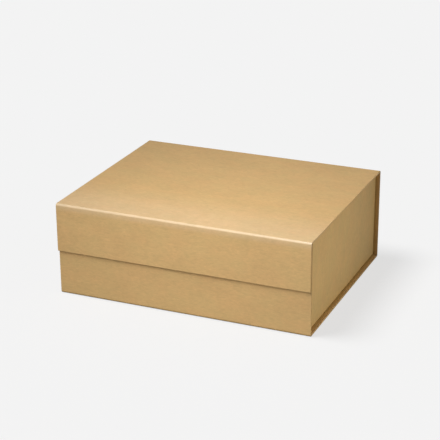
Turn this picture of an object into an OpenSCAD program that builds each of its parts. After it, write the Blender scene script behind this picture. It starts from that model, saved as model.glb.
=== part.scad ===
// Rigid gift box with a hinged lid and a magnetic front flap.
// Greyboard panels are wrapped in kraft paper: one strip makes the flap, lid, back, base and front,
// and two folded side walls stand on the base, set in from its edges.
// Millimetres. Width along X, front towards -Y, up is +Z, origin under the middle of the closed box.

/* [Box] */
// Outside width of the strip, from side to side
box_w = 330; // [220:5:420]
// Outside depth of the closed box, from the flap's face to the back's face
box_d = 265; // [180:5:360]
// Outside height of the closed box
box_h = 120; // [90:5:180]
// Height of the flap, from the lid's top face down to its free edge
flap_h = 62; // [48:1:75]

/* [Board and paper] */
// Thickness of the greyboard
board_t = 2; // [1.6:0.1:3]
// Thickness of the kraft paper, outside and inside
paper_t = 0.2; // [0.1:0.05:0.35]
// Width of the outer paper turned in over a free edge
turn_in = 15; // [8:1:22]
// Distance from a free edge to the edge of the inner lining
lining_inset = 2.5; // [1:0.5:6]
// Extra outside radius of a fold over the thickness of a panel
fold_slack = 0.2; // [0.1:0.1:1]

/* [Side walls] */
// Distance from the strip's edge to the outer face of a side wall
wall_inset = 4.8; // [2:0.2:9]
// Width of the glue tabs at both ends of a side wall
tab_w = 45; // [28:1:70]
// Width of the paper foot that glues a side wall to the floor
foot_w = 14; // [6:1:25]
// Width of the adhesive strips on the glue tabs
tape_w = 18; // [8:1:24]
// Thickness of the adhesive strips
tape_t = 0.2; // [0.1:0.05:0.5]
// Distance from the ends of an adhesive strip to the edges of its tab
tape_end = 8; // [2:1:20]

/* [Closure] */
// Diameter of the magnets in the flap
magnet_d = 12; // [8:0.5:16]
// Thickness of the magnets
magnet_t = 1.5; // [0.8:0.1:1.5]
// Distance from the strip's edge to the centre of a magnet
magnet_inset = 55; // [20:1:110]
// Height of the magnets' centres over the flap's free edge
magnet_up = 15; // [12:1:24]
// Width of the steel plates in the front wall
plate_w = 26; // [18:1:40]
// Height of the steel plates
plate_h = 16; // [12:1:20]
// Thickness of the steel plates
plate_t = 0.8; // [0.4:0.1:1.2]
// Clearance all round a magnet or plate in its pocket
pocket_gap = 0.1; // [0.05:0.05:0.4]

/* [Clearances] */
// Gap between the closed flap and the front wall
flap_gap = 1; // [0.4:0.1:3]
// Gap between the closed lid and the tops of the walls
lid_gap = 0.3; // [0.2:0.1:1]
// Slit in the paper beside each hinge fold, where the moving panel starts
hinge_gap = 0.3; // [0.2:0.1:0.6]

/* [Hidden] */
$fn = 96;

KRAFT = "#c69c62";
KRAFT_INSIDE = "#c9a36c";
GREYBOARD = "#9b958a";
STEEL = "#b9bcc0";
TAPE = "#e9e4d4";

// Levels through a panel, counted from its outer face
board_in = paper_t + board_t;
turned_in = board_in + paper_t;
panel_t = turned_in + paper_t;
fold_r = panel_t + fold_slack;

// What the outer paper does at an edge: goes on round a fold, covers the board's end, or turns in
OPEN = -1;
CAPPED = 0;
TURNED = turn_in;

// Faces and edges of the strip
flap_y = -box_d / 2;
front_y = flap_y + panel_t + flap_gap;
back_y = box_d / 2;
wall_top = box_h - panel_t - lid_gap;
base_size = [box_w, back_y - front_y - 2 * fold_r];
front_size = [box_w, wall_top - fold_r];
back_size = [box_w, box_h - 2 * fold_r];
lid_size = [box_w, box_d - 2 * fold_r - hinge_gap];
flap_size = [box_w, flap_h - fold_r - hinge_gap];

// Faces and edges of the right side wall
side_x = box_w / 2 - wall_inset;
tab_front_y = front_y + panel_t + tape_t;
tab_back_y = back_y - panel_t - tape_t;
side_mid_y = (tab_front_y + tab_back_y) / 2;
side_z = panel_t + fold_r;
side_mid_z = (side_z + wall_top) / 2;
side_size = [tab_back_y - tab_front_y - 2 * fold_r, wall_top - side_z];
tab_size = [wall_top - side_z, tab_w];

// Places of the magnets and plates, from the middle and over the table
magnet_x = box_w / 2 - magnet_inset;
magnet_z = box_h - flap_h + magnet_up;

// What is cut away starts a little outside the solid
cut = 1;
// A fold's paper runs on over the panels beside it
lap = 2;

// Placements: a panel lies with its outer face on z = 0, centred on x, and runs along y
module at_base() {
    translate([0, front_y + fold_r, 0]) children();
}

module at_front() {
    translate([0, front_y, fold_r]) rotate([90, 0, 180]) children();
}

module at_back() {
    translate([0, back_y, fold_r]) rotate([90, 0, 0]) children();
}

module at_lid() {
    translate([0, back_y - fold_r - hinge_gap, box_h]) rotate([180, 0, 0]) children();
}

module at_flap() {
    translate([0, flap_y, box_h - fold_r - hinge_gap]) rotate([-90, 0, 0]) children();
}

module at_side() {
    translate([side_x, side_mid_y, side_z]) rotate([90, 0, -90]) children();
}

module at_front_tab() {
    translate([side_x - fold_r, tab_front_y, side_mid_z])
        rotate([0, -90, 0]) rotate([90, 0, 180]) children();
}

module at_back_tab() {
    translate([side_x - fold_r, tab_back_y, side_mid_z])
        rotate([0, -90, 0]) rotate([90, 0, 0]) children();
}

module left() {
    mirror([1, 0, 0]) children();
}

// A block centred on x, from y0 to y1 and z0 to z1
module slab(width, y0, y1, z0, z1) {
    translate([-width / 2, y0, z0]) cube([width, y1 - y0, z1 - z0]);
}

// Thickness of the outer paper over the board's edge
function cap(edge) = edge < CAPPED ? 0 : paper_t;

// The greyboard of a panel
module board(size, near, far, side) {
    slab(size[0] - 2 * cap(side), cap(near), size[1] - cap(far), paper_t, board_in);
}

// The outer paper of a panel: its face, the board's covered edges and the turned-in borders
module cover(size, near, far, side) {
    near_in = near < TURNED ? -cut : near;
    far_in = far < TURNED ? -cut : far;
    side_in = side < TURNED ? -cut : side;
    difference() {
        slab(size[0], 0, size[1], 0, turned_in);
        board(size, near, far, side);
        if (near < CAPPED)
            slab(size[0] - 2 * cap(side), -cut, paper_t, paper_t, board_in);
        if (far < CAPPED)
            slab(size[0] - 2 * cap(side), size[1] - paper_t, size[1] + cut, paper_t, board_in);
        if (side < CAPPED)
            slab(size[0] + 2 * cut, cap(near), size[1] - cap(far), paper_t, board_in);
        slab(size[0] - 2 * side_in, near_in, size[1] - far_in, board_in, turned_in + cut);
    }
}

// Paper round a quarter fold along x, centred on the fold's axis, on the -y and -z side.
// It runs on in the outer face of the panel below it by lap_y and of the panel beside it by lap_z.
module fold(length, thickness, lap_y, lap_z) {
    rotate([90, 0, 90]) linear_extrude(length, center = true) {
        intersection() {
            difference() {
                circle(fold_r);
                circle(fold_r - thickness);
            }
            translate([-fold_r, -fold_r]) square(fold_r);
        }
        if (lap_y > 0) translate([0, -fold_r]) square([lap_y, paper_t]);
        if (lap_z > 0) translate([-fold_r, 0]) square([paper_t, lap_z]);
    }
}

// The steel plates' pockets and the magnets' pockets, as blocks with a clearance all round
module plate_blank(gap) {
    translate([magnet_x, magnet_z - fold_r, paper_t])
        slab(plate_w + 2 * gap, -plate_h / 2 - gap, plate_h / 2 + gap, 0, plate_t);
}

module magnet_blank(gap) {
    translate([magnet_x, flap_size[1] - magnet_up, board_in - magnet_t])
        cylinder(d = magnet_d + 2 * gap, h = magnet_t);
}

// The strip's boards
module base_board() {
    color(GREYBOARD) at_base() board(base_size, OPEN, OPEN, TURNED);
}

module front_board() {
    color(GREYBOARD) at_front() difference() {
        board(front_size, OPEN, TURNED, TURNED);
        plate_blank(pocket_gap);
        left() plate_blank(pocket_gap);
    }
}

module back_board() {
    color(GREYBOARD) at_back() board(back_size, OPEN, CAPPED, TURNED);
}

module lid_board() {
    color(GREYBOARD) at_lid() board(lid_size, CAPPED, CAPPED, TURNED);
}

module flap_board() {
    color(GREYBOARD) at_flap() difference() {
        board(flap_size, CAPPED, TURNED, TURNED);
        magnet_blank(pocket_gap);
        left() magnet_blank(pocket_gap);
    }
}

// The strip's outer paper, parted where the lid and the flap turn
module tray_wrap() {
    color(KRAFT) {
        at_base() cover(base_size, OPEN, OPEN, TURNED);
        at_front() cover(front_size, OPEN, TURNED, TURNED);
        at_back() cover(back_size, OPEN, CAPPED, TURNED);
        translate([0, front_y + fold_r, fold_r]) fold(box_w, paper_t, lap, lap);
        translate([0, back_y - fold_r, fold_r])
            rotate([90, 0, 0]) fold(box_w, paper_t, lap, lap);
        translate([0, back_y - fold_r, box_h - fold_r])
            rotate([180, 0, 0]) fold(box_w, 2 * paper_t, 0, lap);
    }
}

module lid_wrap() {
    color(KRAFT) {
        at_lid() cover(lid_size, CAPPED, CAPPED, TURNED);
        translate([0, flap_y + fold_r, box_h - fold_r])
            rotate([-90, 0, 0]) fold(box_w, 2 * paper_t, 0, lap);
    }
}

module flap_wrap() {
    color(KRAFT) at_flap() cover(flap_size, CAPPED, TURNED, TURNED);
}

// The strip's lining, which lies on the boards and over the turned-in borders
module tray_lining() {
    lining_w = box_w - 2 * lining_inset;
    color(KRAFT_INSIDE) difference() {
        union() {
            slab(lining_w, front_y + board_in, back_y - board_in, board_in, panel_t);
            slab(lining_w, front_y + board_in, front_y + panel_t, board_in, wall_top - lining_inset);
            slab(lining_w, back_y - panel_t, back_y - board_in, board_in, box_h - fold_r);
        }
        tray_wrap();
    }
}

module lid_lining() {
    color(KRAFT_INSIDE) difference() {
        at_lid() slab(box_w - 2 * lining_inset, 0, lid_size[1], board_in, panel_t);
        lid_wrap();
    }
}

module flap_lining() {
    color(KRAFT_INSIDE) difference() {
        at_flap() slab(box_w - 2 * lining_inset, 0, flap_size[1] - lining_inset, board_in, panel_t);
        flap_wrap();
    }
}

// The boards of the right side wall
module side_board() {
    color(GREYBOARD) at_side() board(side_size, OPEN, TURNED, OPEN);
}

module front_tab_board() {
    color(GREYBOARD) at_front_tab() board(tab_size, OPEN, TURNED, TURNED);
}

module back_tab_board() {
    color(GREYBOARD) at_back_tab() board(tab_size, OPEN, TURNED, TURNED);
}

// The outer paper of the right side wall: three panels, two upright folds, and the fold and foot below
module side_wrap() {
    color(KRAFT) {
        at_side() cover(side_size, OPEN, TURNED, OPEN);
        at_front_tab() cover(tab_size, OPEN, TURNED, TURNED);
        at_back_tab() cover(tab_size, OPEN, TURNED, TURNED);
        translate([side_x - fold_r, tab_front_y + fold_r, side_mid_z])
            rotate([0, -90, 0]) fold(tab_size[0], paper_t, lap, lap);
        translate([side_x - fold_r, tab_back_y - fold_r, side_mid_z])
            rotate([0, 0, 90]) rotate([0, -90, 0]) fold(tab_size[0], paper_t, lap, lap);
        translate([side_x - fold_r, side_mid_y, side_z])
            rotate([0, 0, 90]) fold(side_size[0], paper_t, foot_w, lap);
    }
}

// The lining of the right side wall and its tabs
module side_lining() {
    tab_end_x = side_x - fold_r - tab_w + lining_inset;
    lining_h = wall_top - lining_inset - side_z;
    tabs_apart = tab_back_y - tab_front_y;
    color(KRAFT_INSIDE) difference() {
        translate([tab_end_x, tab_front_y + board_in, side_z]) difference() {
            cube([side_x - board_in - tab_end_x, tabs_apart - 2 * board_in, lining_h]);
            translate([-cut, 2 * paper_t, -cut])
                cube([side_x - panel_t - tab_end_x + cut, tabs_apart - 2 * panel_t, lining_h + 2 * cut]);
        }
        side_wrap();
    }
}

// The adhesive strips between the right side wall's tabs and the front and back
module tab_tape(face_y) {
    tape_x = side_x - fold_r - (tab_w + tape_w) / 2;
    color(TAPE) translate([tape_x, face_y, side_z + tape_end])
        cube([tape_w, tape_t, wall_top - side_z - 2 * tape_end]);
}

module front_tape() {
    tab_tape(tab_front_y - tape_t);
}

module back_tape() {
    tab_tape(tab_back_y);
}

// The closure: steel plates under the front wall's outer paper, magnets under the flap's lining
module plate() {
    color(STEEL) at_front() plate_blank(0);
}

module magnet() {
    color(STEEL) at_flap() magnet_blank(0);
}

base_board();
front_board();
back_board();
tray_wrap();
tray_lining();
side_board();  // right_side_board
front_tab_board();  // right_front_tab_board
back_tab_board();  // right_back_tab_board
side_wrap();  // right_side_wrap
side_lining();  // right_side_lining
left() side_board();  // left_side_board
left() front_tab_board();  // left_front_tab_board
left() back_tab_board();  // left_back_tab_board
left() side_wrap();  // left_side_wrap
left() side_lining();  // left_side_lining
front_tape();  // right_front_tape
back_tape();  // right_back_tape
left() front_tape();  // left_front_tape
left() back_tape();  // left_back_tape
left() plate();  // right_plate
plate();  // left_plate
lid_board();
lid_wrap();
lid_lining();
flap_board();
flap_wrap();
flap_lining();
magnet();  // right_magnet
left() magnet();  // left_magnet
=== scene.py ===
"""Looks of the kraft gift box: its paper as thin folded sheets, the materials, the studio and the camera.

Metres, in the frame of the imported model. A panel is laid out as x across, y along and z inwards from
its outer face, and a matrix puts it in its place.
"""
import math

import bmesh
import bpy
from mathutils import Matrix, Vector

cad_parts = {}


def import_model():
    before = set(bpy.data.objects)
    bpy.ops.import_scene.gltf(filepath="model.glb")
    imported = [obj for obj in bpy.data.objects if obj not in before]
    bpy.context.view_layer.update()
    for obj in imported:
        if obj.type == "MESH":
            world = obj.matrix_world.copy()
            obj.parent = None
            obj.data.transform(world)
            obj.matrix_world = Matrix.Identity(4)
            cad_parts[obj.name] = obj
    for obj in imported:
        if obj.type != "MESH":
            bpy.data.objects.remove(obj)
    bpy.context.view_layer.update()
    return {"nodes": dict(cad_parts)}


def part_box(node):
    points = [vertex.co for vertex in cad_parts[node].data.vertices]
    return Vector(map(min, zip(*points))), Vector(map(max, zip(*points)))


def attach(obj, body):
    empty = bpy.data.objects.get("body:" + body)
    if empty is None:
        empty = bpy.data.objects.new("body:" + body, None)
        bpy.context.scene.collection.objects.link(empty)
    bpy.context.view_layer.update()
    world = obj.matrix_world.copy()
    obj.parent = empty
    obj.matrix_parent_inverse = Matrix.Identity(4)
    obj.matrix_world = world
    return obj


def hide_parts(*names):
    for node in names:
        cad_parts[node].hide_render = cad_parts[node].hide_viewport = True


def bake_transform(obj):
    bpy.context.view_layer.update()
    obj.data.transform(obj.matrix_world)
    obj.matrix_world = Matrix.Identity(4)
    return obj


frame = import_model()

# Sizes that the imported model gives
tray_low, tray_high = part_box("tray_wrap")
lid_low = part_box("lid_wrap")[0]
flap_low, flap_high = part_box("flap_wrap")
front_board_low, front_board_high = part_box("front_board")
base_board_low, base_board_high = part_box("base_board")
lid_board_low, lid_board_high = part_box("lid_board")
side_low, side_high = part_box("right_side_wrap")
side_board_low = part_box("right_side_board")[0]
tab_end_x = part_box("right_front_tab_board")[0].x - (front_board_low.y - tray_low.y)

width = tray_high.x - tray_low.x
height = tray_high.z
paper = front_board_low.y - tray_low.y
depth = base_board_high.z - base_board_low.z + 2 * paper
fold_radius = base_board_low.y - tray_low.y
front_top = front_board_high.z + paper
hinge_gap = height - fold_radius - flap_high.z
lid_length = lid_board_high.y - lid_board_low.y + 2 * paper
flap_length = flap_high.z - flap_low.z
front_length = front_top - fold_radius
base_length = base_board_high.y - base_board_low.y
back_length = height - 2 * fold_radius
arc_length = fold_radius * math.pi / 2
fold_top = height - fold_radius

# Sizes of the finish
EDGE_RADIUS = 0.0005
TURN_IN = 0.015
EDGE_STEPS = 4
FOLD_STEPS = 14
HINGE_LAYERS = 2
SHARP_ANGLE = math.radians(35)
SIDE_FOOT = 0.014
# How strongly the edges are marked, where the middle of a fold is 1: wear, which the paper's material
# also uses for painted shade and a painted highlight
EDGE_WEAR_AND_SHADE = 0.35
# The side walls' sheets lie this far to the right and left of the strip's sheet
SIDE_SHEET_SHIFT = 1.0

# Mesh layers that the paper's material reads: the place on the unrolled sheet, and its mark of wear,
# painted shade and painted highlight
SHEET = "sheet"
FOLD = "fold"

X, Y, Z = Vector((1, 0, 0)), Vector((0, 1, 0)), Vector((0, 0, 1))

# Where each panel of the strip starts on the unrolled sheet, from the middle of the base
base_start = -base_length / 2
front_start = base_length / 2 + arc_length
back_start = base_length / 2 + arc_length
hinge_start = back_start + back_length
lid_start = hinge_start + arc_length + hinge_gap
flap_fold_start = lid_start + lid_length
flap_start = flap_fold_start + arc_length + hinge_gap


def quarter(radius, steps):
    """Points of a quarter circle from the outer face outwards and down, as (offset, down, share)."""
    points = []
    for k in range(steps + 1):
        share = k / steps
        angle = share * math.pi / 2
        points.append((radius * math.sin(angle), radius * (1 - math.cos(angle)), share))
    return points


def edge_profile(turn_in):
    """Paper over a board's edge, from the outer face to the end of the turned-in border.
    A point is its offset outwards, its depth, the paper's length so far and its share of the edge mark of
    wear and painted shade."""
    outer = quarter(EDGE_RADIUS, EDGE_STEPS)
    points = outer + [(o, depth - d, t) for o, d, t in reversed(outer)]
    profile, length = [], 0.0
    for k, (offset, down, share) in enumerate(points):
        if k:
            length += math.dist(points[k - 1][:2], (offset, down))
        profile.append((offset, down, length, share))
    border = turn_in - EDGE_RADIUS
    profile.append((-border, depth, length + border, 0.0))
    return profile


class Sheet:
    """A sheet of paper under construction: its outer surface, with the layers that its material reads."""

    def __init__(self):
        self.mesh = bmesh.new()
        self.sheet = self.mesh.verts.layers.float_vector.new(SHEET)
        self.fold = self.mesh.verts.layers.float.new(FOLD)
        self.lay = lambda across, along: (across, along)

    def point(self, place, position, unrolled, wear_and_painted_light=0.0):
        vert = self.mesh.verts.new(place @ Vector(position))
        vert[self.sheet] = Vector((*self.lay(*unrolled), 0.0))
        vert[self.fold] = wear_and_painted_light
        return vert

    def face(self, verts):
        self.mesh.faces.new(verts)

    def grid(self, rows):
        """Faces between rows of points."""
        for a, b in zip(rows, rows[1:]):
            for k in range(len(a) - 1):
                self.face((a[k], a[k + 1], b[k + 1], b[k]))

    def panel(self, place, size, turned, start, cap=False):
        """Paper of a panel: its face, and the edges named in turned with their turned-in borders.
        start is where the near edge lies on the unrolled sheet, and cap closes the paper's end there."""
        half, length = size[0] / 2, size[1]
        inset = {e: EDGE_RADIUS if e in turned else 0.0 for e in ("left", "far", "right", "near")}
        border = {e: TURN_IN if e in turned else 0.0 for e in inset}

        def corners(inwards):
            x0, x1 = -half + inwards["left"], half - inwards["right"]
            y0, y1 = inwards["near"], length - inwards["far"]
            return [(x0, y0), (x0, y1), (x1, y1), (x1, y0)]

        outer, inner = corners(inset), corners(border)
        profile = edge_profile(TURN_IN)

        def station(corner, angle):
            """The profile at one place of the rim, where the edge faces angle."""
            (x, y), (xi, yi) = outer[corner], inner[corner]
            dx, dy = -math.cos(angle), math.sin(angle)
            row = []
            for offset, down, run, share in profile:
                unrolled = (x + dx * run, start + y + dy * run)
                if offset < 0:
                    row.append(self.point(place, (xi, yi, down), unrolled))
                else:
                    position = (x + dx * offset, y + dy * offset, down)
                    row.append(self.point(place, position, unrolled, share * EDGE_WEAR_AND_SHADE))
            return row

        edges = ["left", "far", "right", "near"]
        ends = []
        for k, edge in enumerate(edges):
            if edge not in turned:
                continue
            angle = k * math.pi / 2
            after = edges[(k + 1) % 4] in turned
            rows = [station(k, angle), station((k + 1) % 4, angle)]
            if after:
                for t in range(1, EDGE_STEPS + 1):
                    rows.append(station((k + 1) % 4, angle + math.pi / 2 * t / EDGE_STEPS))
            self.grid(rows)
            ends.append((edge, rows[0], rows[-1]))
        self.face([self.point(place, (x, y, 0), (x, start + y)) for x, y in outer])
        if cap:
            rim = {edge: (first, last) for edge, first, last in ends}
            left = rim["left"][0][:-1]
            right = rim["right"][1][:-1]
            copies = [self.mesh.verts.new(v.co) for v in left + right[::-1]]
            for copy, v in zip(copies, left + right[::-1]):
                copy[self.sheet] = v[self.sheet]
            self.face(copies[::-1])

    def bend(self, place, size, start, sides=("left", "right"), onward=0.0):
        """Paper round a quarter fold, after a panel whose outer face ends at the place's origin.
        The fold turns inwards about an axis fold_radius inside the face, and runs on flat by onward."""
        half = size / 2
        round_start = half - EDGE_RADIUS
        rounded = [
            (round_start + o, d, t, round_start + EDGE_RADIUS * t * math.pi / 2)
            for o, d, t in quarter(EDGE_RADIUS, EDGE_STEPS)
        ]
        square = [(half, 0.0, 0.0, half)]
        left = rounded if "left" in sides else square
        right = rounded if "right" in sides else square
        across = [(-x, d, t, -unrolled) for x, d, t, unrolled in reversed(left)] + right
        rows = []
        for k in range(FOLD_STEPS + 1):
            share = k / FOLD_STEPS
            angle = share * math.pi / 2
            row = []
            for x, d, edge, unrolled in across:
                r = fold_radius - d
                position = (x, r * math.sin(angle), fold_radius - r * math.cos(angle))
                # The fold's mark, highest in its middle: wear, painted shade on most folds and a painted
                # highlight on the flap's fold
                wear_and_painted_light = max(math.sin(math.pi * share), edge * EDGE_WEAR_AND_SHADE)
                row.append(self.point(place, position, (unrolled, start + fold_radius * angle), wear_and_painted_light))
            rows.append(row)
        if onward:
            row = []
            for x, d, edge, unrolled in across:
                position = (x, fold_radius - d, fold_radius + onward)
                unrolled_to = (unrolled, start + arc_length + onward)
                row.append(self.point(place, position, unrolled_to, edge * EDGE_WEAR_AND_SHADE))
            rows.append(row)
        self.grid([row[::-1] for row in rows])

    def finish(self, name, material, thickness):
        """The sheet as an object with its real thickness and clean shading."""
        bmesh.ops.remove_doubles(self.mesh, verts=self.mesh.verts, dist=1e-6)
        bmesh.ops.dissolve_degenerate(self.mesh, edges=self.mesh.edges, dist=1e-7)
        mesh = bpy.data.meshes.new(name)
        self.mesh.to_mesh(mesh)
        self.mesh.free()
        piece = bpy.data.objects.new(name, mesh)
        bpy.context.scene.collection.objects.link(piece)
        solid = piece.modifiers.new("thickness", "SOLIDIFY")
        solid.thickness = thickness
        solid.offset = -1
        solid.use_even_offset = True
        bpy.context.view_layer.update()
        evaluated = piece.evaluated_get(bpy.context.evaluated_depsgraph_get())
        whole = bpy.data.meshes.new_from_object(evaluated)
        piece.modifiers.clear()
        piece.data = whole
        bpy.data.meshes.remove(mesh)
        whole.name = name
        whole.materials.clear()
        whole.materials.append(material)
        whole.shade_smooth()
        whole.set_sharp_from_angle(angle=SHARP_ANGLE)
        shading = piece.modifiers.new("shading", "WEIGHTED_NORMAL")
        shading.keep_sharp = True
        shading.weight = 100
        return piece


# Shader node helpers
def shader(name):
    """A new material's node tree, its surface shader and the material."""
    material = bpy.data.materials.new(name)
    material.use_nodes = True
    tree = material.node_tree
    return material, tree, tree.nodes["Principled BSDF"]


def add(tree, kind, settings=None, **inputs):
    """A node with its settings, and its inputs set by name or linked if they are sockets."""
    made = tree.nodes.new(kind)
    for key, value in (settings or {}).items():
        setattr(made, key, value)
    for key, value in inputs.items():
        socket = made.inputs[int(key[1:])] if key[0] == "i" and key[1:].isdigit() else made.inputs[key]
        if isinstance(value, bpy.types.NodeSocket):
            tree.links.new(value, socket)
        else:
            socket.default_value = value
    return made


def maths(tree, operation, a, b=0.0):
    return add(tree, "ShaderNodeMath", {"operation": operation}, i0=a, i1=b).outputs[0]


def weighted(tree, parts):
    """The sum of each noise, taken about its middle, times its weight."""
    total = 0.0
    for socket, weight in parts:
        centred = maths(tree, "SUBTRACT", socket, 0.5)
        total = maths(tree, "ADD", maths(tree, "MULTIPLY", centred, weight), total)
    return total


def noise(tree, where, scale, detail=2.0, roughness=0.5, stretch=(1, 1, 1), turn=0.0, distortion=0.0):
    """Noise with features of about 1 / scale metres, stretched along the paper's grain."""
    mapped = add(tree, "ShaderNodeMapping", Vector=where, Scale=stretch, Rotation=(0, 0, turn)).outputs[0]
    made = add(tree, "ShaderNodeTexNoise", Vector=mapped, Scale=scale, Detail=detail, Roughness=roughness,
               Distortion=distortion)
    return made.outputs["Fac"]


def tint(tree, first, second, factor, kind="MIX"):
    """Two colours mixed, or the first blended with the second. Each is a colour or a socket."""
    mix = add(tree, "ShaderNodeMix", {"data_type": "RGBA", "blend_type": kind})
    for socket, value in ((mix.inputs[0], factor), (mix.inputs[6], first), (mix.inputs[7], second)):
        if isinstance(value, bpy.types.NodeSocket):
            tree.links.new(value, socket)
        else:
            socket.default_value = (*value, 1) if isinstance(value, tuple) else value
    return mix.outputs[2]


def between(tree, value, low, high, to_low, to_high, smooth=False):
    """The value carried from one range to another and kept within it."""
    settings = {"interpolation_type": "SMOOTHSTEP" if smooth else "LINEAR"}
    made = add(tree, "ShaderNodeMapRange", settings, Value=value)
    for socket, limit in zip(made.inputs[1:5], (low, high, to_low, to_high)):
        socket.default_value = limit
    return made.outputs[0]


def bump(tree, height, distance, strength):
    return add(tree, "ShaderNodeBump", Height=height, Distance=distance, Strength=strength).outputs[0]


# Colours, linear
# The next two colours are one paper in a lit and a shaded copy: the strip's bluer copy paints the sheen
# of the lid and front, and the side walls' copy paints their warmer shade
KRAFT = (0.620, 0.406, 0.181)
KRAFT_SHADED_SIDES = (0.620, 0.400, 0.152)
KRAFT_LINING = (0.620, 0.395, 0.138)
GREYBOARD = (0.270, 0.250, 0.215)
TAPE = (0.780, 0.740, 0.620)
STEEL = (0.560, 0.570, 0.580)
NICKEL = (0.640, 0.630, 0.610)

PAPER_IOR = 1.10
# The paper's darkest and palest shade, as shares of its colour
DARK_SHADE, PALE_SHADE = 0.86, 1.14
# Dark flecks: how many in a metre, their inner and outer radius in their cell, and their strength
FLECKS = 260.0
FLECK_RADII = (0.05, 0.13)
FLECK_STRENGTH = 0.35
# The mottled hue, as multipliers of the paper's colour
OLIVE_CAST = (0.983, 1.003, 0.990)
ORANGE_CAST = (1.017, 0.990, 0.983)
# Paper on the flap's fold: paler, partly as stretched fibres and partly as a painted highlight, and
# glossy from its coat. On the other folds and edges: darker, partly as soiling and partly as painted
# shade
PAPER_FOLD_HIGHLIGHT = (0.80, 0.66, 0.46)
FOLD_HIGHLIGHT_AMOUNT = 0.5
PAPER_DIRT_AND_SHADE = (0.30, 0.165, 0.020)
DIRT_AND_SHADE_AMOUNT = 0.72
ROUGHENED = 0.4
# Paper painted pale beside the flap's fold as a painted sheen, and how far that reaches on the lid and
# the flap
PAPER_SHEEN = (0.85, 0.76, 0.64)
SHEEN_AMOUNT = 0.13
SHEEN_ON_LID = 0.10
SHEEN_ON_FLAP = 0.008
COAT_ROUGHNESS = 0.28
# The paper's relief: its depth in metres and its strength
RELIEF = (0.00012, 0.55)


def shade(colour, amount):
    return tuple(min(1.0, c * amount) for c in colour)


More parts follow.
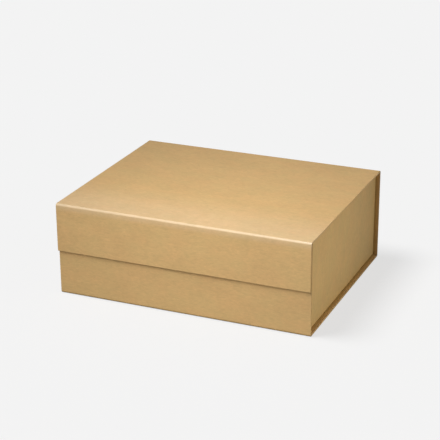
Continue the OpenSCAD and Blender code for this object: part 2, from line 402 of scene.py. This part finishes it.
def paper_material(name, colour, coordinates, contrast=1.0, roughness=0.46):
    """Kraft paper: soft mottling that also turns its hue, clouds, a tangled figure, fibres and flecks.
    coordinates is the mesh layer of the unrolled sheet, or None for the object's own coordinates."""
    material, tree, surface = shader(name)
    if coordinates:
        where = add(tree, "ShaderNodeAttribute", {"attribute_name": coordinates}).outputs["Vector"]
    else:
        where = add(tree, "ShaderNodeTexCoord").outputs["Object"]
    mottling = noise(tree, where, 22, 2, 0.5, stretch=(0.7, 1.3, 1))
    warmth = noise(tree, where, 34, 2, 0.55, stretch=(0.8, 1.2, 1), turn=0.7)
    clouds = noise(tree, where, 90, 3, 0.55, distortion=0.6)
    figure = noise(tree, where, 130, 4, 0.6, stretch=(0.6, 1.6, 1), turn=0.12, distortion=2.2)
    creases = noise(tree, where, 85, 3, 0.6, stretch=(0.6, 2.2, 1), turn=-0.6, distortion=1.2)
    fibres = noise(tree, where, 560, 4, 0.7, stretch=(0.35, 1, 1), turn=0.15)
    cross = noise(tree, where, 460, 3, 0.65, stretch=(0.3, 1, 1), turn=-0.9)
    flecks = add(tree, "ShaderNodeTexVoronoi", {"feature": "F1"}, Vector=where, Scale=FLECKS)
    fleck = between(tree, flecks.outputs["Distance"], *FLECK_RADII, 1.0, 0.0)
    factor = weighted(tree, [
        (mottling, 0.50 * contrast), (clouds, 0.40 * contrast), (figure, 0.80 * contrast),
        (creases, 0.45 * contrast), (fibres, 0.85 * contrast), (cross, 0.70 * contrast),
    ])
    factor = maths(tree, "ADD", factor, 0.5)
    factor = maths(tree, "SUBTRACT", factor, maths(tree, "MULTIPLY", fleck, FLECK_STRENGTH))
    base = tint(tree, shade(colour, DARK_SHADE), shade(colour, PALE_SHADE), factor)
    hue = tint(tree, OLIVE_CAST, ORANGE_CAST, between(tree, warmth, 0.3, 0.7, 0.0, 1.0, smooth=True))
    base = tint(tree, base, hue, contrast, "MULTIPLY")
    rough = maths(tree, "ADD", weighted(tree, [(clouds, 0.10), (fibres, 0.14)]), roughness)
    if coordinates:
        wear_and_painted_light = add(tree, "ShaderNodeAttribute", {"attribute_name": FOLD}).outputs["Fac"]
        along = add(tree, "ShaderNodeSeparateXYZ", Vector=where).outputs["Y"]
        past = maths(tree, "SUBTRACT", along, flap_fold_start)
        on_lid = between(tree, past, -SHEEN_ON_LID, 0.0, 0.0, 1.0, smooth=True)
        on_flap = between(tree, past, arc_length, arc_length + SHEEN_ON_FLAP, 1.0, 0.0, smooth=True)
        sheen_zone = maths(tree, "MULTIPLY", on_lid, on_flap)
        before = between(tree, past, -fold_radius, 0.0, 0.0, 1.0)
        after = between(tree, past, arc_length, arc_length + fold_radius, 1.0, 0.0)
        on_fold = maths(tree, "MULTIPLY", before, after)
        # The flap's fold: glossy from its coat, and painted pale, partly as stretched fibres and partly
        # as a painted highlight
        burnish_and_highlight = maths(tree, "MULTIPLY", on_fold, wear_and_painted_light)
        pale = maths(tree, "MULTIPLY", burnish_and_highlight, maths(tree, "ADD", fibres, 0.2))
        base = tint(tree, base, PAPER_FOLD_HIGHLIGHT, maths(tree, "MULTIPLY", pale, FOLD_HIGHLIGHT_AMOUNT))
        # The other folds and the board edges painted darker, partly as soiling and partly as painted
        # shade of creases, crevices and the contact with the floor
        dirt_and_shade = maths(tree, "MULTIPLY", wear_and_painted_light, maths(tree, "SUBTRACT", 1.0, on_fold))
        base = tint(tree, base, PAPER_DIRT_AND_SHADE, maths(tree, "MULTIPLY", dirt_and_shade, DIRT_AND_SHADE_AMOUNT))
        rough = maths(tree, "ADD", rough, maths(tree, "MULTIPLY", dirt_and_shade, ROUGHENED))
        # Painted sheen: the paper paled on the lid and the flap beside the flap's fold, where the light
        # catches it
        uneven = maths(tree, "ADD", maths(tree, "MULTIPLY", clouds, 0.8), 0.6)
        painted_sheen = maths(tree, "MULTIPLY", sheen_zone, uneven)
        base = tint(tree, base, PAPER_SHEEN, maths(tree, "MULTIPLY", painted_sheen, SHEEN_AMOUNT))
        tree.links.new(burnish_and_highlight, surface.inputs["Coat Weight"])
        surface.inputs["Coat Roughness"].default_value = COAT_ROUGHNESS
    tree.links.new(base, surface.inputs["Base Color"])
    tree.links.new(rough, surface.inputs["Roughness"])
    relief = weighted(tree, [(fibres, 0.5), (cross, 0.4), (clouds, 0.9), (figure, 0.5)])
    tree.links.new(bump(tree, relief, *RELIEF), surface.inputs["Normal"])
    surface.inputs["IOR"].default_value = PAPER_IOR
    return material


def greyboard_material():
    """Recycled greyboard: grey pulp with pale and dark fibres."""
    material, tree, surface = shader("greyboard")
    where = add(tree, "ShaderNodeTexCoord").outputs["Object"]
    clouds = noise(tree, where, 160, 4, 0.6)
    fibres = noise(tree, where, 1400, 3, 0.7, stretch=(0.3, 1, 1))
    factor = maths(tree, "ADD", weighted(tree, [(clouds, 0.8), (fibres, 1.2)]), 0.5)
    colour = tint(tree, shade(GREYBOARD, 0.75), shade(GREYBOARD, 1.3), factor)
    tree.links.new(colour, surface.inputs["Base Color"])
    tree.links.new(bump(tree, fibres, 0.0002, 0.6), surface.inputs["Normal"])
    surface.inputs["Roughness"].default_value = 0.95
    return material


def tape_material():
    """Double-sided tape with a faint crepe."""
    material, tree, surface = shader("tape")
    where = add(tree, "ShaderNodeTexCoord").outputs["Object"]
    crepe = noise(tree, where, 600, 2, 0.5, stretch=(1, 1, 0.2))
    tree.links.new(tint(tree, shade(TAPE, 0.93), shade(TAPE, 1.05), crepe), surface.inputs["Base Color"])
    tree.links.new(bump(tree, crepe, 0.00005, 0.5), surface.inputs["Normal"])
    surface.inputs["Roughness"].default_value = 0.4
    return material


def metal_material(name, colour, roughness):
    """Plated metal with fine rolling marks."""
    material, tree, surface = shader(name)
    where = add(tree, "ShaderNodeTexCoord").outputs["Object"]
    marks = noise(tree, where, 2500, 2, 0.6, stretch=(0.05, 1, 1))
    stains = noise(tree, where, 300, 3, 0.6)
    stained = tint(tree, shade(colour, 0.85), shade(colour, 1.1), stains)
    tree.links.new(stained, surface.inputs["Base Color"])
    rough = maths(tree, "ADD", maths(tree, "MULTIPLY", marks, 0.2), roughness)
    tree.links.new(rough, surface.inputs["Roughness"])
    surface.inputs["Metallic"].default_value = 1.0
    return material


kraft = paper_material("kraft", KRAFT, SHEET)
# The side walls' paper: a copy of the paper with painted shade
kraft_shaded_sides = paper_material("kraft_shaded_sides", KRAFT_SHADED_SIDES, SHEET)
lining = paper_material("kraft_lining", KRAFT_LINING, None, contrast=0.8, roughness=0.55)
greyboard = greyboard_material()
tape = tape_material()
steel = metal_material("steel", STEEL, 0.25)
nickel = metal_material("nickel", NICKEL, 0.15)

# Better materials for the model's own solids
FINISHES = {"_lining": lining, "_board": greyboard, "_tape": tape, "_plate": steel, "_magnet": nickel}
for name, node in frame["nodes"].items():
    for ending, material in FINISHES.items():
        if name.endswith(ending):
            for slot in node.material_slots:
                slot.material = material


def placed(origin, along, inward):
    """The place of a panel or fold that starts at origin, with the directions of its y and its z."""
    turn = Matrix((along.cross(inward), along, inward)).transposed().to_4x4()
    return Matrix.Translation(origin) @ turn


def dress(piece, body, node):
    """The piece rides on a body in place of that body's paper."""
    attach(piece, body)
    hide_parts(node)


def tray_sheet():
    """The strip's paper on the front, base and back, with its two lower folds."""
    made = Sheet()
    front_y, back_y = tray_low.y, tray_high.y
    base_near, base_far = base_board_low.y, base_board_high.y
    made.panel(placed((0, base_near, 0), Y, Z), (width, base_length), {"left", "right"}, base_start)
    made.bend(placed((0, base_far, 0), Y, Z), width, base_length / 2)
    back = placed((0, back_y, fold_radius), Z, -Y)
    made.panel(back, (width, back_length), {"left", "right"}, back_start)
    made.lay = lambda across, along: (-across, -along)
    made.bend(placed((0, base_near, 0), -Y, Z), width, base_length / 2)
    front = placed((0, front_y, fold_radius), Z, Y)
    made.panel(front, (width, front_length), {"left", "right", "far"}, front_start)
    dress(made.finish("tray_paper", kraft, paper), "tray", "tray_wrap")


def lid_sheet():
    made = Sheet()
    place = placed((0, lid_board_high.y + paper, height), -Y, -Z)
    made.panel(place, (width, lid_length), {"left", "right"}, lid_start, cap=True)
    dress(made.finish("lid_paper", kraft, paper), "lid", "lid_wrap")


def flap_sheet():
    made = Sheet()
    place = placed((0, flap_low.y, flap_high.z), -Z, Y)
    made.panel(place, (width, flap_length), {"left", "right", "far"}, flap_start, cap=True)
    dress(made.finish("flap_paper", kraft, paper), "flap", "flap_wrap")


def hinge_sheet(name, origin, along, inward, start):
    """The double paper of a hinge, as a quarter fold in the closed box."""
    made = Sheet()
    made.bend(placed(origin, along, inward), width, start, onward=hinge_gap)
    piece = made.finish(name, kraft, HINGE_LAYERS * paper)
    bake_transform(piece)


def side_sheet(name, side):
    """The paper of a side wall: the wall and its foot, and the two upright folds with their glue tabs."""
    made = Sheet()
    outer = side_high.x
    ahead, behind = side_low.y + fold_radius, side_high.y - fold_radius
    foot_top, wall_top = side_board_low.z, front_top
    tall, wide = wall_top - foot_top, behind - ahead
    middle, half = (ahead + behind) / 2, wide / 2
    out = X * side

    def at(x, y, z):
        return (side * x, y, z)

    made.lay = lambda across, along: (along, across + side * SIDE_SHEET_SHIFT)
    made.panel(placed(at(outer, middle, foot_top), Z, -out), (wide, tall), {"far"}, 0)
    made.lay = lambda across, along: (-along, side * SIDE_SHEET_SHIFT - across)
    made.bend(placed(at(outer, middle, foot_top), -Z, -out), wide, 0, sides=())
    foot_place = placed(at(outer - fold_radius, middle, foot_top - fold_radius), -out, Z)
    made.panel(foot_place, (wide, SIDE_FOOT), set(), arc_length)
    tab_width = outer - fold_radius - tab_end_x
    for end, y, tab_y in ((-1, ahead, side_low.y), (1, behind, side_high.y)):
        facing = Y * end
        up = facing.cross(-out).z
        made.lay = lambda across, along: (tall / 2 + up * across, -up * along + side * SIDE_SHEET_SHIFT)
        fold_place = placed(at(outer, y, foot_top + tall / 2), facing, -out)
        made.bend(fold_place, tall, half, sides=("right",) if up > 0 else ("left",))
        tab_place = placed(at(outer - fold_radius, tab_y, foot_top + tall / 2), -out, -facing)
        made.panel(tab_place, (tall, tab_width), {"left", "right", "far"}, half + arc_length)
    dress(made.finish(name + "_side_paper", kraft_shaded_sides, paper), "tray", name + "_side_wrap")


tray_sheet()
lid_sheet()
flap_sheet()
hinge_sheet("lid_hinge_paper", (0, tray_high.y, fold_top), Z, -Y, hinge_start)
flap_fold = (0, lid_low.y + fold_radius, height)
hinge_sheet("flap_hinge_paper", flap_fold, -Y, -Z, flap_fold_start)
side_sheet("right", 1)
side_sheet("left", -1)


# Studio
FLOOR_DROP = 0.0001
FLOOR_SIZE = 40.0
FLOOR_COLOUR = (0.28, 0.28, 0.28)
FLOOR_SHADOWED = (0.171, 0.171, 0.171)
FLOOR_PLAIN = (0.691, 0.691, 0.691)
BACKGROUND = (0.896, 0.896, 0.896)
WORLD_STRENGTH = 0.20
# A soft distant light on the floor: strength, height and heading in degrees, and spread in degrees
SUN = (3.5, 64.3, 25.5, 26)
# Softboxes for the box: name, place, what it faces, size, power and spread in degrees
SOFTBOXES = [
    ("overhead", (0.05, -0.15, 0.54), (0.05, -0.12, 0.10), (0.14, 0.18), 0.231, 140),
    ("front_fill", (0.05, -0.66, 0.76), (0.03, -0.10, 0.08), (0.16, 1.00), 2.6, 88),
    ("right_fill", (0.70, 0.04, 0.11), (0.16, -0.14, 0.03), (0.20, 0.16), 0.278, 80),
]


def seen_by(tree):
    """1 for what the camera sees, also in reflections and through glass."""
    path = add(tree, "ShaderNodeLightPath")
    ray = maths(tree, "MAXIMUM", path.outputs["Is Camera Ray"], path.outputs["Is Transmission Ray"])
    return maths(tree, "MAXIMUM", ray, path.outputs["Is Glossy Ray"])


def floor():
    """A plain pale floor. What is seen of it keeps the shadows and evens out the lamps' fall-off."""
    mesh = bpy.data.meshes.new("floor")
    h = FLOOR_SIZE / 2
    mesh.from_pydata([(-h, -h, 0), (h, -h, 0), (h, h, 0), (-h, h, 0)], [], [(0, 1, 2, 3)])
    made = bpy.data.objects.new("floor", mesh)
    bpy.context.scene.collection.objects.link(made)
    made.location.z = -FLOOR_DROP
    material, tree, surface = shader("floor")
    surface.inputs["Base Color"].default_value = (*FLOOR_COLOUR, 1)
    surface.inputs["Roughness"].default_value = 1.0
    surface.inputs["Specular IOR Level"].default_value = 0.0
    shadowed = add(tree, "ShaderNodeBsdfDiffuse", Color=(*FLOOR_SHADOWED, 1))
    plain = add(tree, "ShaderNodeEmission", Color=(*FLOOR_PLAIN, 1), Strength=1.0)
    seen = add(tree, "ShaderNodeAddShader", i0=shadowed.outputs[0], i1=plain.outputs[0])
    mix = add(tree, "ShaderNodeMixShader", i0=seen_by(tree), i1=surface.outputs[0], i2=seen.outputs[0])
    tree.links.new(mix.outputs[0], tree.nodes["Material Output"].inputs["Surface"])
    mesh.materials.append(material)
    return made


def world():
    """Even light from all round, and the plain background that the camera and reflections see."""
    made = bpy.data.worlds.new("studio")
    bpy.context.scene.world = made
    made.use_nodes = True
    tree = made.node_tree
    light = tree.nodes["Background"]
    light.inputs["Color"].default_value = (1, 1, 1, 1)
    light.inputs["Strength"].default_value = WORLD_STRENGTH
    seen = add(tree, "ShaderNodeBackground", Color=(*BACKGROUND, 1), Strength=1.0)
    mix = add(tree, "ShaderNodeMixShader", i0=seen_by(tree), i1=light.outputs[0], i2=seen.outputs[0])
    tree.links.new(mix.outputs[0], tree.nodes["World Output"].inputs["Surface"])


def aim(made, place, target):
    made.location = place
    made.rotation_mode = "QUATERNION"
    made.rotation_quaternion = (Vector(target) - Vector(place)).to_track_quat("-Z", "Y")


def lamp(name, kind, energy, place, target):
    """A lamp that the camera doesn't see."""
    data = bpy.data.lights.new(name, kind)
    data.energy = energy
    made = bpy.data.objects.new(name, data)
    made.visible_camera = False
    bpy.context.scene.collection.objects.link(made)
    aim(made, place, target)
    return made


def only_for(thing, state):
    """A collection that lights a thing alone, or everything but that thing."""
    group = bpy.data.collections.new(thing.name + "_" + state.lower())
    group.objects.link(thing)
    group.collection_objects[0].light_linking.link_state = state
    return group


def lamps(ground):
    """A soft high light from the left on the ground alone, and softboxes on all but the ground."""
    strength, *angles = SUN
    height_angle, heading, spread = (math.radians(a) for a in angles)
    level = math.cos(height_angle)
    towards = Vector((level * math.cos(heading), level * math.sin(heading), -math.sin(height_angle)))
    sun = lamp("sun", "SUN", strength, -towards, (0, 0, 0))
    sun.data.angle = spread
    sun.light_linking.receiver_collection = only_for(ground, "INCLUDE")
    spared = only_for(ground, "EXCLUDE")
    for name, place, target, size, power, beam in SOFTBOXES:
        softbox = lamp(name, "AREA", power, place, target)
        softbox.data.shape = "RECTANGLE"
        softbox.data.size, softbox.data.size_y = size
        softbox.data.spread = math.radians(beam)
        softbox.light_linking.receiver_collection = spared


# The camera: its place, heading from +Y towards -X, dip and roll in degrees, and its focal length in
# pixels of the 440 pixel frame
FRAME_SIZE = 440
SENSOR = 36.0
CAMERA_PLACE = (0.6536, -1.5343, 0.7365)
CAMERA_HEADING, CAMERA_DIP, CAMERA_ROLL = 23.208, 21.641, 0.311
CAMERA_FOCAL = 1418.5


def camera():
    heading, dip, roll = (math.radians(a) for a in (CAMERA_HEADING, CAMERA_DIP, CAMERA_ROLL))
    ahead = Vector((-math.sin(heading), math.cos(heading), 0))
    forward = ahead * math.cos(dip) - Z * math.sin(dip)
    level = Vector((math.cos(heading), math.sin(heading), 0))
    below = forward.cross(level)
    right = level * math.cos(roll) + below * math.sin(roll)
    down = below * math.cos(roll) - level * math.sin(roll)
    data = bpy.data.cameras.new("camera")
    data.sensor_fit = "HORIZONTAL"
    data.sensor_width = SENSOR
    data.lens = CAMERA_FOCAL / FRAME_SIZE * SENSOR
    data.clip_start, data.clip_end = 0.05, 100.0
    made = bpy.data.objects.new("camera", data)
    bpy.context.scene.collection.objects.link(made)
    turn = Matrix((right, -down, -forward)).transposed().to_4x4()
    made.matrix_world = Matrix.Translation(CAMERA_PLACE) @ turn
    bpy.context.scene.camera = made


world()
lamps(floor())
camera()
bpy.context.scene.view_settings.view_transform = "Standard"
